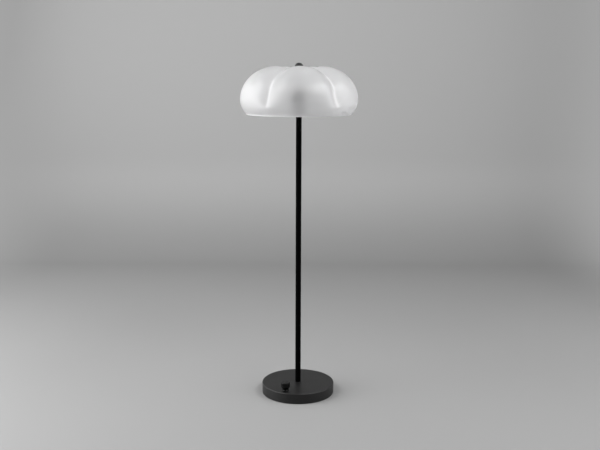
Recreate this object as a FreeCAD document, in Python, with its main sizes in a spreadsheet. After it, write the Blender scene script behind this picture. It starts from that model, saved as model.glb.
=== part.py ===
import FreeCAD, Part
import math
import os
import re

import Sketcher

# Mushroom floor lamp, in millimetres. +Z is up, the front is -Y, and the origin is the centre
# of the base's underside on the stem's axis. A flat round base carries a one-piece stem, a cup
# with three capsule lamps stands on the stem, and a five-lobed frosted glass shade hangs over
# them, held between a seat disc and a finial on the same threaded riser.

Vector = FreeCAD.Vector
doc = FreeCAD.newDocument("mushroom_floor_lamp")

# Driving dimensions: alias, value in millimetres (bearings in degrees), meaning
SIZES = (
    ("base_diameter", 250.0, "outer diameter of the base cover"),
    ("base_height", 36.3, "floor to the top of the base cover"),
    ("base_edge", 2.8, "outer radius between the cover's top and its skirt"),
    ("cover_wall", 1.5, "sheet thickness of the base cover"),
    ("skirt_gap", 1.2, "floor to the lower edge of the skirt"),
    ("pad_diameter", 238.0, "foam pad under the base"),
    ("pad_thickness", 2.0, "foam pad under the base"),
    ("plate_diameter", 245.0, "closing plate of the base"),
    ("plate_thickness", 1.5, "closing plate of the base"),
    ("weight_diameter", 244.0, "cast weight inside the cover"),
    ("weight_thickness", 20.0, "cast weight, without its legs"),
    ("weight_bevel", 1.6, "bevel round the weight's top edge"),
    ("leg_diameter", 16.0, "cast legs that carry the closing plate"),
    ("leg_circle", 106.0, "radius of the circle of legs"),
    ("leg_root", 1.0, "how far a leg runs on into the weight"),
    ("leg_tap", 3.9, "hole in each leg for its screw"),
    ("tap_depth", 10.0, "hole in each leg, from its lower end"),
    ("pad_hole_diameter", 11.0, "hole in the pad round a screw head"),
    ("plate_hole_diameter", 4.4, "hole in the closing plate for a screw"),
    ("screw_head_diameter", 8.0, "pan-head screws of the closing plate"),
    ("screw_head_height", 1.6, "pan-head screws of the closing plate"),
    ("screw_reach", 8.0, "screws above the closing plate"),
    ("nut_pocket_diameter", 40.0, "pocket for the stem's nut, under the weight"),
    ("nut_pocket_depth", 10.0, "pocket for the stem's nut, under the weight"),
    ("stem_diameter", 19.0, "outer diameter of the stem tube"),
    ("stem_wall", 1.5, "wall of the stem tube"),
    ("stem_top", 1004.7, "floor to the upper end of the stem tube"),
    ("insert_length", 22.0, "threaded plugs brazed into the stem's ends"),
    ("thread_diameter", 10.0, "nipple and riser, a ten millimetre fine thread"),
    ("thread_clearance", 0.25, "all round the thread where it passes a plain hole"),
    ("nipple_bore", 7.0, "way for the lead through the nipple"),
    ("nipple_drop", 1.0, "nipple below its nut"),
    ("nipple_setback", 2.0, "top of the lower plug to the nipple's upper end"),
    ("washer_diameter", 30.0, "large washer under the weight"),
    ("washer_thickness", 2.5, "large washer under the weight"),
    ("lock_diameter", 18.0, "spring washer under the weight"),
    ("lock_thickness", 1.5, "spring washer under the weight"),
    ("nut_flats", 14.0, "hexagon nuts on the thread, across flats"),
    ("nut_height", 5.0, "full nut"),
    ("thin_nut_height", 3.5, "thin nut"),
    ("inlet_height", 9.0, "floor to the middle of the cable inlet"),
    ("inlet_hole_diameter", 8.4, "hole in the skirt for the inlet grommet"),
    ("inlet_bore_diameter", 6.0, "way for a cable through the grommet"),
    ("inlet_flange_diameter", 10.0, "the grommet's two flanges"),
    ("inlet_flange", 1.6, "thickness of each flange"),
    ("inlet_flange_gap", 0.2, "skirt's inside to the inner flange"),
    ("block_length", 30.0, "terminal block, side to side"),
    ("block_depth", 18.0, "terminal block, front to back"),
    ("block_height", 9.5, "terminal block"),
    ("block_offset", 66.0, "stem axis to the middle of the terminal block"),
    ("block_way_pitch", 20.0, "distance between the block's two ways"),
    ("block_way_diameter", 3.6, "a way for a conductor"),
    ("block_way_depth", 6.0, "a way for a conductor"),
    ("block_way_height", 4.5, "block's underside to the middle of a way"),
    ("block_clamp_diameter", 3.0, "hole over a way for its clamping screw"),
    ("block_clamp_setback", 4.0, "block's rear to the clamping screws"),
    ("block_hole_diameter", 3.2, "hole through the block for its screw"),
    ("block_counterbore_diameter", 5.6, "recess for the screw's head"),
    ("block_counterbore_depth", 2.0, "recess for the screw's head"),
    ("terminal_screw_diameter", 3.0, "screw that holds the block"),
    ("terminal_head_diameter", 5.4, "screw that holds the block"),
    ("terminal_head_recess", 0.3, "block's underside to the screw's head"),
    ("terminal_screw_reach", 8.0, "that screw inside the weight"),
    ("terminal_tap_depth", 10.0, "hole in the weight for that screw"),
    ("earth_offset", 38.0, "terminal block's middle to the earth screw, to the right"),
    ("earth_screw_diameter", 4.0, "earth screw"),
    ("earth_screw_reach", 6.0, "earth screw inside the weight"),
    ("earth_tap_depth", 8.0, "hole in the weight for the earth screw"),
    ("earth_washer_diameter", 9.0, "washer of the earth screw"),
    ("earth_washer_thickness", 0.8, "washer of the earth screw"),
    ("earth_head_diameter", 7.0, "head of the earth screw"),
    ("earth_head_height", 2.8, "head of the earth screw"),
    ("lead_diameter", 4.0, "round two-core lead inside the lamp"),
    ("lead_height", 7.5, "floor to the lead's middle where it runs in the base"),
    ("stem_lead_bend", 7.0, "radius of the stem lead's bends"),
    ("dimmer_lead_bend", 6.0, "radius of the dimmer lead's first bend"),
    ("dimmer_lead_sweep", 16.0, "radius of the dimmer lead's second bend"),
    ("splice_level", 19.0, "floor of the lamp cup to the splice's middle"),
    ("splice_offset", 13.5, "stem axis to the splice's middle, to the front"),
    ("splice_width", 10.0, "crimped splice, side to side"),
    ("splice_depth", 6.0, "crimped splice, front to back"),
    ("splice_height", 8.0, "crimped splice"),
    ("tail_diameter", 2.0, "lampholders' tails"),
    ("tail_bend", 3.0, "radius of the tails' bends"),
    ("knob_offset", 101.5, "stem axis to the dimmer's axis"),
    ("knob_bearing", 24.5, "dimmer's axis, in degrees left of the front"),
    ("knob_gap", 0.7, "cover to the underside of the knob"),
    ("knob_foot_radius", 11.6, "foot of the knob"),
    ("knob_waist_radius", 10.2, "narrowest place of the knob"),
    ("knob_head_radius", 15.2, "widest place of the knob"),
    ("knob_edge_round", 2.0, "rounding of the edge of the knob's flat top"),
    ("knob_height", 29.3, "knob, foot to top"),
    ("knob_hollow_radius", 8.6, "hollow of the knob over the dimmer's nut"),
    ("knob_hollow_gap", 0.6, "bush to the roof of that hollow"),
    ("form_foot", 0.06, "knob and finial: top of the foot, as a share of the height"),
    ("form_waist", 0.17, "knob and finial: level of the waist, as a share of the height"),
    ("form_neck", 0.42, "knob and finial: level of the neck, as a share of the height"),
    ("form_head", 0.62, "knob and finial: widest level, as a share of the height"),
    ("form_neck_width", 0.8, "knob and finial: how far the neck is from waist to head"),
    ("form_waist_arc", 0.18, "knob and finial: arc above the foot, as a share of the height"),
    ("form_neck_arc", 0.52, "knob and finial: arc above the waist, as a share of the height"),
    ("form_head_arc", 0.24, "knob and finial: arc below the head, as a share of the height"),
    ("dimmer_pocket_diameter", 32.0, "opening in the weight for the dimmer"),
    ("dimmer_diameter", 26.0, "body of the dimmer"),
    ("dimmer_height", 13.0, "body of the dimmer"),
    ("dimmer_gap", 0.5, "cover to the dimmer's body"),
    ("dimmer_bevel", 1.0, "bevel round the lower edge of that body"),
    ("bush_height", 8.0, "threaded bush over the dimmer's body"),
    ("shaft_diameter", 6.0, "spindle of the dimmer"),
    ("shaft_clearance", 0.06, "all round the spindle in its bush"),
    ("shaft_depth", 9.0, "spindle inside the dimmer's body"),
    ("shaft_end_gap", 0.1, "under the spindle's end"),
    ("shaft_share", 0.7, "share of the knob's height that the spindle reaches"),
    ("dimmer_washer_radius", 8.0, "washer over the cover"),
    ("dimmer_washer_thickness", 0.8, "washer over the cover"),
    ("dimmer_nut_flats", 13.0, "nut of the dimmer, across flats"),
    ("dimmer_nut_height", 3.0, "nut of the dimmer"),
    ("grub_diameter", 4.0, "grub screw that holds the knob"),
    ("grub_length", 6.0, "grub screw that holds the knob"),
    ("grub_share", 0.36, "level of the grub screw, as a share of the knob's height"),
    ("grub_gap", 0.05, "spindle to the grub screw"),
    ("grub_socket_diameter", 2.0, "socket in the grub screw's end"),
    ("grub_socket_depth", 2.0, "socket in the grub screw's end"),
    ("riser_bore", 6.0, "way for the lead through the riser"),
    ("riser_depth", 20.0, "riser inside the stem's upper plug"),
    ("riser_reach", 14.0, "riser inside the finial"),
    ("riser_end_gap", 1.0, "riser's upper end to the roof of the finial's thread"),
    ("window_bottom", 8.0, "floor of the lamp cup to the window in the riser"),
    ("window_height", 19.0, "window in the riser for the lead"),
    ("window_width", 6.0, "window in the riser for the lead"),
    ("cup_diameter", 44.0, "lamp cup on the stem"),
    ("cup_height", 46.0, "lamp cup on the stem"),
    ("cup_wall", 1.2, "sheet thickness of the lamp cup"),
    ("cup_edge", 2.0, "outer radius round the cup's floor"),
    ("lid_thickness", 1.5, "lid of the lamp cup"),
    ("ring_nut_diameter", 13.0, "slotted round nut that holds the lid"),
    ("slot_width", 2.0, "slot across the round nut"),
    ("slot_depth", 1.2, "slot across the round nut"),
    ("holder_circle", 14.0, "radius of the circle of lampholders"),
    ("holder_gap", 0.1, "lid to a lampholder, all round"),
    ("holder_diameter", 12.4, "lampholder below the lid"),
    ("holder_depth", 14.0, "lampholder below the lid, lid included"),
    ("holder_flange_diameter", 14.6, "lampholder's flange on the lid"),
    ("holder_flange", 2.0, "thickness of the lampholder's flange"),
    ("holder_head_diameter", 13.8, "lampholder over its flange"),
    ("holder_head", 4.0, "lampholder over its flange"),
    ("clip_thickness", 0.8, "retaining clip under the lid"),
    ("clip_width", 0.5, "retaining clip, all round its lampholder"),
    ("pin_pitch", 9.0, "distance between a lamp's two pins"),
    ("pin_diameter", 1.6, "a lamp's pin"),
    ("pin_length", 8.0, "a lamp's pin"),
    ("pin_gap", 0.3, "all round a pin in its lampholder"),
    ("pin_end_gap", 1.0, "under a pin's end"),
    ("lamp_diameter", 13.4, "capsule lamp"),
    ("lamp_foot", 8.0, "ceramic foot of a lamp"),
    ("lamp_glass", 30.0, "glass capsule of a lamp"),
    ("capsule_setback", 0.4, "lamp's foot to its capsule, all round"),
    ("seat_radius", 17.0, "disc that carries the shade"),
    ("seat_thickness", 2.0, "disc that carries the shade"),
    ("gasket_thickness", 1.0, "silicone gaskets on both sides of the glass"),
    ("gasket_radius", 13.0, "silicone gaskets on both sides of the glass"),
    ("gasket_gap", 0.03, "left between a gasket and the uneven glass"),
    ("cap_washer_radius", 13.0, "washer under the finial"),
    ("cap_washer_thickness", 2.0, "washer under the finial"),
    ("finial_foot_radius", 10.2, "foot of the finial"),
    ("finial_waist_radius", 9.0, "narrowest place of the finial"),
    ("finial_head_radius", 14.0, "widest place of the finial"),
    ("finial_height", 26.3, "finial, foot to crown"),
    ("shade_wall", 3.5, "thickness of the glass"),
    ("shade_hole_radius", 5.6, "hole in the glass for the riser"),
    ("shade_flat_radius", 18.0, "flat round the hole, for the gaskets"),
    ("shade_flat_height", 1109.0, "floor to the top of the flat"),
    ("shade_crest_radius", 80.0, "radius at which a lobe is highest"),
    ("shade_crest_height", 1126.8, "floor to the crest of a lobe"),
    ("shade_widest_radius", 195.9, "radius of the shade at its widest"),
    ("shade_widest_height", 1020.0, "floor to the shade's widest level"),
    ("shade_lower_radius", 71.0, "radius of the arc below the widest level"),
    ("shade_rim_height", 968.7, "floor to the rim of the shade"),
    ("groove_depth", 17.8, "depth of the grooves between the lobes"),
    ("groove_full_radius", 135.0, "radius at which a groove reaches its full depth"),
    ("groove_fade_height", 1062.0, "level below which a groove gets shallower"),
    ("groove_end_height", 997.0, "level at which a groove ends"),
    ("groove_end_softness", 1.5, "rounding of a groove's end"),
    ("lobe_power", 2.4, "power of a lobe's fall from its ridge to the groove, at the crest"),
    ("groove_narrowing", 4.6, "added to that power by a groove's end, so that it gets narrower"),
    ("shade_bearing", 4.3, "middle of the front lobe, in degrees right of the front"),
)
LOBES = 5
LEGS = 4
LAMPS = 3

# Rows of points on the glass, about 6 mm apart, and points from a lobe's ridge to its groove
DIMPLE_ROWS, SHOULDER_ROWS, LOWER_ROWS = 11, 30, 10
LOBE_COLUMNS = 14

sheet = doc.addObject("Spreadsheet::Sheet", "Sizes")
for row, (alias, value, meaning) in enumerate(SIZES, start=1):
    sheet.set(f"A{row}", meaning)
    sheet.set(f"B{row}", str(value))
    sheet.setAlias(f"B{row}", alias)
doc.recompute()
ALIASES = {alias for alias, value, meaning in SIZES}

# Levels of the stack, each worked out from the sheet
PLATE_TOP = "(pad_thickness + plate_thickness)"
COVER_UNDERSIDE = "(base_height - cover_wall)"
WEIGHT_BOTTOM = f"({COVER_UNDERSIDE} - weight_thickness)"
POCKET_TOP = f"({WEIGHT_BOTTOM} + nut_pocket_depth)"
WASHER_BOTTOM = f"({POCKET_TOP} - washer_thickness)"
LOCK_BOTTOM = f"({WASHER_BOTTOM} - lock_thickness)"
NUT_BOTTOM = f"({LOCK_BOTTOM} - nut_height)"
NIPPLE_BOTTOM = f"({NUT_BOTTOM} - nipple_drop)"
KNOB_FOOT = "(base_height + knob_gap)"
DIMMER_TOP = f"({COVER_UNDERSIDE} - dimmer_gap)"
CUP_FLOOR = "(stem_top + cup_wall)"
CUP_TOP = "(stem_top + cup_height)"
LID_TOP = f"({CUP_TOP} + lid_thickness)"
HOLDER_BOTTOM = f"({LID_TOP} - holder_depth)"
HOLDER_TOP = f"({LID_TOP} + holder_flange + holder_head)"
LAMP_FOOT_TOP = f"({HOLDER_TOP} + lamp_foot)"
LAMP_TOP = f"({LAMP_FOOT_TOP} + lamp_glass)"
CAPSULE_RADIUS = "(lamp_diameter / 2 - capsule_setback)"
GLASS_UNDERSIDE = "(shade_flat_height - shade_wall)"
SEAT_TOP = f"({GLASS_UNDERSIDE} - gasket_thickness)"
SEAT_BOTTOM = f"({SEAT_TOP} - seat_thickness)"
CAP_WASHER_BOTTOM = "(shade_flat_height + gasket_thickness)"
FINIAL_FOOT = f"({CAP_WASHER_BOTTOM} + cap_washer_thickness)"
RISER_TOP = f"({FINIAL_FOOT} + riser_reach)"
KNOB_X = "(-knob_offset * sin(knob_bearing))"
KNOB_Y = "(-knob_offset * cos(knob_bearing))"
THREAD_HOLE = "(thread_diameter / 2 + thread_clearance)"

nodes = {}


def bind(words):
    """The same expression with every alias read from the sheet."""
    return re.sub(r"[a-z_]+", lambda found: f"Sizes.{found[0]}" if found[0] in ALIASES else found[0], words)


def size(words):
    """The value of an expression on the sheet's aliases."""
    return float(sheet.evalExpression(bind(words)))


def place(thing, x="0", y="0", z="0"):
    """Bind an object's position to the sheet."""
    for direction, words in zip("xyz", (x, y, z)):
        thing.setExpression(f"Placement.Base.{direction}", bind(words))
    return thing


def node(label, thing):
    """Name a finished piece, whose file takes the same name."""
    thing.Label = label
    nodes[label] = thing
    return thing


def cylinder(radius, bottom, top, x="0", y="0"):
    """An upright cylinder between two levels."""
    thing = doc.addObject("Part::Cylinder", "Cylinder")
    thing.setExpression("Radius", bind(radius))
    thing.setExpression("Height", bind(f"({top}) - ({bottom})"))
    return place(thing, x, y, bottom)


def lying_cylinder(radius, start, end, height, x="0", y="0"):
    """A level cylinder that runs along +Y, from start to end as measured from x, y."""
    thing = doc.addObject("Part::Cylinder", "LyingCylinder")
    thing.setExpression("Radius", bind(radius))
    thing.setExpression("Height", bind(f"({end}) - ({start})"))
    thing.Placement.Rotation = FreeCAD.Rotation(Vector(1, 0, 0), -90)
    return place(thing, x, f"{y} + ({start})", height)


def block(length, depth, height, x, y, z):
    """A box centred on x, y that stands on level z."""
    thing = doc.addObject("Part::Box", "Block")
    thing.setExpression("Length", bind(length))
    thing.setExpression("Width", bind(depth))
    thing.setExpression("Height", bind(height))
    return place(thing, f"{x} - ({length}) / 2", f"{y} - ({depth}) / 2", z)


def hexagon(flats, bottom, top, x="0", y="0"):
    """An upright hexagonal bar, given across its flats."""
    thing = doc.addObject("Part::Prism", "Hexagon")
    thing.Polygon = 6
    thing.setExpression("Circumradius", bind(f"{flats} / sqrt(3)"))
    thing.setExpression("Height", bind(f"({top}) - ({bottom})"))
    return place(thing, x, y, bottom)


def joined(*things):
    """One solid out of several."""
    fusion = doc.addObject("Part::MultiFuse", "Joined")
    fusion.Shapes = list(things)
    return fusion


def grouped(things):
    """Separate solids that share one node."""
    group = doc.addObject("Part::Compound", "Grouped")
    group.Links = list(things)
    return group


def without(base, *tools):
    """The base with every tool cut away."""
    difference = doc.addObject("Part::Cut", "Difference")
    difference.Base = base
    difference.Tool = tools[0] if len(tools) == 1 else joined(*tools)
    return difference


def arc_middle(start, end, radius, side):
    """The middle of a minor arc; side +1 bulges to the left of the way from start to end."""
    chord = end - start
    half = chord.Length / 2
    across = Vector(-chord.y, chord.x, 0).normalize()
    rise = radius - math.sqrt(max(radius ** 2 - half ** 2, 0))
    return (start + end) / 2 + across * (rise * side)


def turned(label, outline, x="0", y="0"):
    """A turned or spun piece: its half section in radius and height, revolved about the upright.

    Each corner is (radius, height), or (radius, height, arc radius, side) where an arc leads to it.
    """
    body = doc.addObject("PartDesign::Body", label + "_body")
    sketch = body.newObject("Sketcher::SketchObject", label + "_section")
    plane = next(part for part in body.Origin.OriginFeatures if part.Role == "XZ_Plane")
    sketch.AttachmentSupport = (plane, [""])
    sketch.MapMode = "FlatFace"
    corners = [Vector(size(corner[0]), size(corner[1]), 0) for corner in outline]
    ends = []
    for index, corner in enumerate(outline):
        start, end = corners[index - 1], corners[index]
        if len(corner) == 2:
            edge = sketch.addGeometry(Part.LineSegment(start, end), False)
            ends.append((edge, 1, 2))
            continue
        middle = arc_middle(start, end, size(corner[2]), corner[3])
        if corner[3] > 0:
            edge = sketch.addGeometry(Part.Arc(end, middle, start), False)
            ends.append((edge, 2, 1))
        else:
            edge = sketch.addGeometry(Part.Arc(start, middle, end), False)
            ends.append((edge, 1, 2))
        bound = sketch.addConstraint(Sketcher.Constraint("Radius", edge, size(corner[2])))
        sketch.setExpression(f"Constraints[{bound}]", bind(corner[2]))
    for index, (edge, first, last) in enumerate(ends):
        following, following_first, _ = ends[(index + 1) % len(ends)]
        sketch.addConstraint(Sketcher.Constraint("Coincident", edge, last, following, following_first))
        for kind, words, axis in (("DistanceX", outline[index][0], -2), ("DistanceY", outline[index][1], -1)):
            if words == "0":
                sketch.addConstraint(Sketcher.Constraint("PointOnObject", edge, last, axis))
                continue
            bound = sketch.addConstraint(Sketcher.Constraint(kind, -1, 1, edge, last, size(words)))
            sketch.setExpression(f"Constraints[{bound}]", bind(words))
    doc.recompute()
    solid = body.newObject("PartDesign::Revolution", label + "_turning")
    solid.Profile = sketch
    solid.ReferenceAxis = (sketch, ["V_Axis"])
    solid.Angle = 360
    doc.recompute()
    return place(body, x, y)


def washer(label, outer, inner, bottom, top, x="0", y="0"):
    """A flat ring."""
    outline = [(inner, bottom), (outer, bottom), (outer, top), (inner, top)]
    return node(label, turned(label, outline, x, y))


def nut(label, flats, bore, bottom, top, x="0", y="0"):
    """A hexagon nut."""
    ring = without(hexagon(flats, bottom, top, x, y), cylinder(bore, bottom, top, x, y))
    return node(label, ring)


def waisted_section(foot, foot_radius, waist_radius, head_radius, height):
    """Half section of the knob or the finial up to its widest place, over a short foot and a waist."""
    foot_top = f"({foot} + {height} * form_foot)"
    waist = f"({foot} + {height} * form_waist)"
    neck = f"({foot} + {height} * form_neck)"
    head = f"({foot} + {height} * form_head)"
    neck_radius = f"({waist_radius} + ({head_radius} - {waist_radius}) * form_neck_width)"
    return [
        (foot_radius, foot),
        (foot_radius, foot_top),
        (waist_radius, waist, f"{height} * form_waist_arc", 1),
        (neck_radius, neck, f"{height} * form_neck_arc", 1),
        (head_radius, head, f"{height} * form_head_arc", -1),
    ]


# ---- Base, from the floor up ---------------------------------------------------------------

leg_places = []
for index in range(LEGS):
    bearing = 45 + 360 * index / LEGS
    leg_places.append((f"(leg_circle * cos({bearing}))", f"(leg_circle * sin({bearing}))"))

# Foam pad, with a hole round each screw head
PAD_RADIUS = "(pad_diameter / 2)"
pad_outline = [("0", "0"), (PAD_RADIUS, "0"), (PAD_RADIUS, "pad_thickness"), ("0", "pad_thickness")]
head_holes = [cylinder("pad_hole_diameter / 2", "0", "pad_thickness", x, y) for x, y in leg_places]
node("foot_pad", without(turned("foot_pad", pad_outline), *head_holes))

# Steel plate that closes the base
plate = cylinder("plate_diameter / 2", "pad_thickness", PLATE_TOP)
plate_holes = [cylinder("plate_hole_diameter / 2", "pad_thickness", PLATE_TOP, x, y) for x, y in leg_places]
node("bottom_plate", without(plate, *plate_holes))

# Pan-head screws, up through the plate into the weight's legs
screws = []
for x, y in leg_places:
    head = cylinder("screw_head_diameter / 2", "pad_thickness - screw_head_height", "pad_thickness", x, y)
    shank = cylinder("leg_tap / 2", "pad_thickness", f"{PLATE_TOP} + screw_reach", x, y)
    screws.append(joined(head, shank))
node("plate_screws", grouped(screws))

# Cast weight: a disc under the cover, four legs, the nut's pocket and the dimmer's opening
weight_outline = [
    ("0", WEIGHT_BOTTOM),
    ("weight_diameter / 2", WEIGHT_BOTTOM),
    ("weight_diameter / 2", f"{COVER_UNDERSIDE} - weight_bevel"),
    ("weight_diameter / 2 - weight_bevel", COVER_UNDERSIDE),
    ("0", COVER_UNDERSIDE),
]
legs = [cylinder("leg_diameter / 2", PLATE_TOP, f"{WEIGHT_BOTTOM} + leg_root", x, y) for x, y in leg_places]
casting = joined(turned("base_weight", weight_outline), *legs)
taps = [cylinder("leg_tap / 2", PLATE_TOP, f"{PLATE_TOP} + tap_depth", x, y) for x, y in leg_places]
TERMINAL_TAP = ("terminal_screw_diameter / 2", WEIGHT_BOTTOM, f"{WEIGHT_BOTTOM} + terminal_tap_depth")
EARTH_TAP = ("earth_screw_diameter / 2", WEIGHT_BOTTOM, f"{WEIGHT_BOTTOM} + earth_tap_depth")
weight = without(
    casting,
    *taps,
    cylinder("nut_pocket_diameter / 2", WEIGHT_BOTTOM, POCKET_TOP),
    cylinder(THREAD_HOLE, POCKET_TOP, COVER_UNDERSIDE),
    cylinder("dimmer_pocket_diameter / 2", WEIGHT_BOTTOM, COVER_UNDERSIDE, KNOB_X, KNOB_Y),
    cylinder(*TERMINAL_TAP, y="block_offset"),
    cylinder(*EARTH_TAP, "earth_offset", "block_offset"),
)
node("base_weight", weight)

# Spun steel cover, with holes for the stem's nipple, the dimmer's bush and the cable inlet
cover_outline = [
    ("base_diameter / 2 - cover_wall", "skirt_gap"),
    ("base_diameter / 2", "skirt_gap"),
    ("base_diameter / 2", "base_height - base_edge"),
    ("base_diameter / 2 - base_edge", "base_height", "base_edge", -1),
    ("0", "base_height"),
    ("0", COVER_UNDERSIDE),
    ("base_diameter / 2 - base_edge", COVER_UNDERSIDE),
    ("base_diameter / 2 - cover_wall", "base_height - base_edge", "base_edge - cover_wall", 1),
]
COVER_RADIUS = "(base_diameter / 2)"
INLET_HOLE = "(inlet_hole_diameter / 2)"
cover = without(
    turned("base_cover", cover_outline),
    cylinder(THREAD_HOLE, COVER_UNDERSIDE, "base_height"),
    cylinder(THREAD_HOLE, COVER_UNDERSIDE, "base_height", KNOB_X, KNOB_Y),
    lying_cylinder(INLET_HOLE, f"{COVER_RADIUS} - 2 * cover_wall", COVER_RADIUS, "inlet_height"),
)
node("base_cover", cover)

# Rubber grommet of the cable inlet, in the rear of the skirt
INLET_FLANGE = "(inlet_flange_diameter / 2)"
INNER_FLANGE_END = f"({COVER_RADIUS} - cover_wall - inlet_flange_gap)"
INNER_FLANGE_START = f"({INNER_FLANGE_END} - inlet_flange)"
OUTER_FLANGE_END = f"({COVER_RADIUS} + inlet_flange)"
grommet = joined(
    lying_cylinder(INLET_HOLE, INNER_FLANGE_END, COVER_RADIUS, "inlet_height"),
    lying_cylinder(INLET_FLANGE, COVER_RADIUS, OUTER_FLANGE_END, "inlet_height"),
    lying_cylinder(INLET_FLANGE, INNER_FLANGE_START, INNER_FLANGE_END, "inlet_height"),
)
inlet_bore = lying_cylinder("inlet_bore_diameter / 2", INNER_FLANGE_START, OUTER_FLANGE_END, "inlet_height")
node("cable_inlet", without(grommet, inlet_bore))

# Terminal block under the weight, its screw, and the earth screw beside it
BLOCK_BOTTOM = f"({WEIGHT_BOTTOM} - block_height)"
terminal = block("block_length", "block_depth", "block_height", "0", "block_offset", BLOCK_BOTTOM)
BLOCK_FRONT = "(block_offset - block_depth / 2)"
BLOCK_BACK = "(block_offset + block_depth / 2)"
WAY_LEVEL = f"({BLOCK_BOTTOM} + block_way_height)"
WAY_START = f"({BLOCK_BACK} - block_way_depth)"
HEAD_LEVEL = f"({BLOCK_BOTTOM} + block_counterbore_depth)"
terminal_cuts = [
    cylinder("block_hole_diameter / 2", BLOCK_BOTTOM, WEIGHT_BOTTOM, y="block_offset"),
    cylinder("block_counterbore_diameter / 2", BLOCK_BOTTOM, HEAD_LEVEL, y="block_offset"),
]
for x in ("-block_way_pitch / 2", "block_way_pitch / 2"):
    way = lying_cylinder("block_way_diameter / 2", WAY_START, BLOCK_BACK, WAY_LEVEL, x)
    clamp_place = (x, f"{BLOCK_BACK} - block_clamp_setback")
    terminal_cuts += [way, cylinder("block_clamp_diameter / 2", BLOCK_BOTTOM, WAY_LEVEL, *clamp_place)]
node("terminal_block", without(terminal, *terminal_cuts))
TERMINAL_HEAD_BOTTOM = f"({BLOCK_BOTTOM} + terminal_head_recess)"
TERMINAL_SCREW_TOP = f"({WEIGHT_BOTTOM} + terminal_screw_reach)"
terminal_screw = joined(
    cylinder("terminal_head_diameter / 2", TERMINAL_HEAD_BOTTOM, HEAD_LEVEL, y="block_offset"),
    cylinder("terminal_screw_diameter / 2", HEAD_LEVEL, TERMINAL_SCREW_TOP, y="block_offset"),
)
node("terminal_screw", terminal_screw)
EARTH_WASHER_BOTTOM = f"({WEIGHT_BOTTOM} - earth_washer_thickness)"
EARTH_HEAD_BOTTOM = f"({EARTH_WASHER_BOTTOM} - earth_head_height)"
EARTH_SCREW_TOP = f"({WEIGHT_BOTTOM} + earth_screw_reach)"
earth_place = ("earth_offset", "block_offset")
earth_screw = joined(
    cylinder("earth_washer_diameter / 2", EARTH_WASHER_BOTTOM, WEIGHT_BOTTOM, *earth_place),
    cylinder("earth_head_diameter / 2", EARTH_HEAD_BOTTOM, EARTH_WASHER_BOTTOM, *earth_place),
    cylinder("earth_screw_diameter / 2", WEIGHT_BOTTOM, EARTH_SCREW_TOP, *earth_place),
)
node("earth_screw", earth_screw)

# ---- Stem and what clamps it to the base ---------------------------------------------------

STEM_BORE = "(stem_diameter / 2 - stem_wall)"
washer("stem_tube", "stem_diameter / 2", STEM_BORE, "base_height", "stem_top")
washer("stem_lower_plug", STEM_BORE, "thread_diameter / 2", "base_height", "base_height + insert_length")
washer("stem_upper_plug", STEM_BORE, "thread_diameter / 2", "stem_top - insert_length", "stem_top")
NIPPLE_TOP = "(base_height + insert_length - nipple_setback)"
washer("stem_nipple", "thread_diameter / 2", "nipple_bore / 2", NIPPLE_BOTTOM, NIPPLE_TOP)
washer("stem_washer", "washer_diameter / 2", THREAD_HOLE, WASHER_BOTTOM, POCKET_TOP)
washer("stem_lock_washer", "lock_diameter / 2", THREAD_HOLE, LOCK_BOTTOM, WASHER_BOTTOM)
nut("stem_nut", "nut_flats", "thread_diameter / 2", NUT_BOTTOM, LOCK_BOTTOM)

# ---- Dimmer, under the cover at the front left ---------------------------------------------

DIMMER_BOTTOM = f"({DIMMER_TOP} - dimmer_height)"
BUSH_TOP = f"({DIMMER_TOP} + bush_height)"
SHAFT_BOTTOM = f"({DIMMER_TOP} - shaft_depth)"
SHAFT_TOP = f"({KNOB_FOOT} + knob_height * shaft_share)"
RUNNING_BORE = "(shaft_diameter / 2 + shaft_clearance)"
dimmer_outline = [
    ("0", DIMMER_BOTTOM),
    ("dimmer_diameter / 2 - dimmer_bevel", DIMMER_BOTTOM),
    ("dimmer_diameter / 2", f"{DIMMER_BOTTOM} + dimmer_bevel"),
    ("dimmer_diameter / 2", DIMMER_TOP),
    (RUNNING_BORE, DIMMER_TOP),
    (RUNNING_BORE, f"{SHAFT_BOTTOM} - shaft_end_gap"),
    ("0", f"{SHAFT_BOTTOM} - shaft_end_gap"),
]
node("dimmer_body", turned("dimmer_body", dimmer_outline, KNOB_X, KNOB_Y))
washer("dimmer_bush", "thread_diameter / 2", RUNNING_BORE, DIMMER_TOP, BUSH_TOP, KNOB_X, KNOB_Y)
WASHER_TOP = "(base_height + dimmer_washer_thickness)"
washer("dimmer_washer", "dimmer_washer_radius", THREAD_HOLE, "base_height", WASHER_TOP, KNOB_X, KNOB_Y)
DIMMER_NUT_TOP = f"({WASHER_TOP} + dimmer_nut_height)"
nut("dimmer_nut", "dimmer_nut_flats", "thread_diameter / 2", WASHER_TOP, DIMMER_NUT_TOP, KNOB_X, KNOB_Y)
node("dimmer_shaft", cylinder("shaft_diameter / 2", SHAFT_BOTTOM, SHAFT_TOP, KNOB_X, KNOB_Y))

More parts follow.
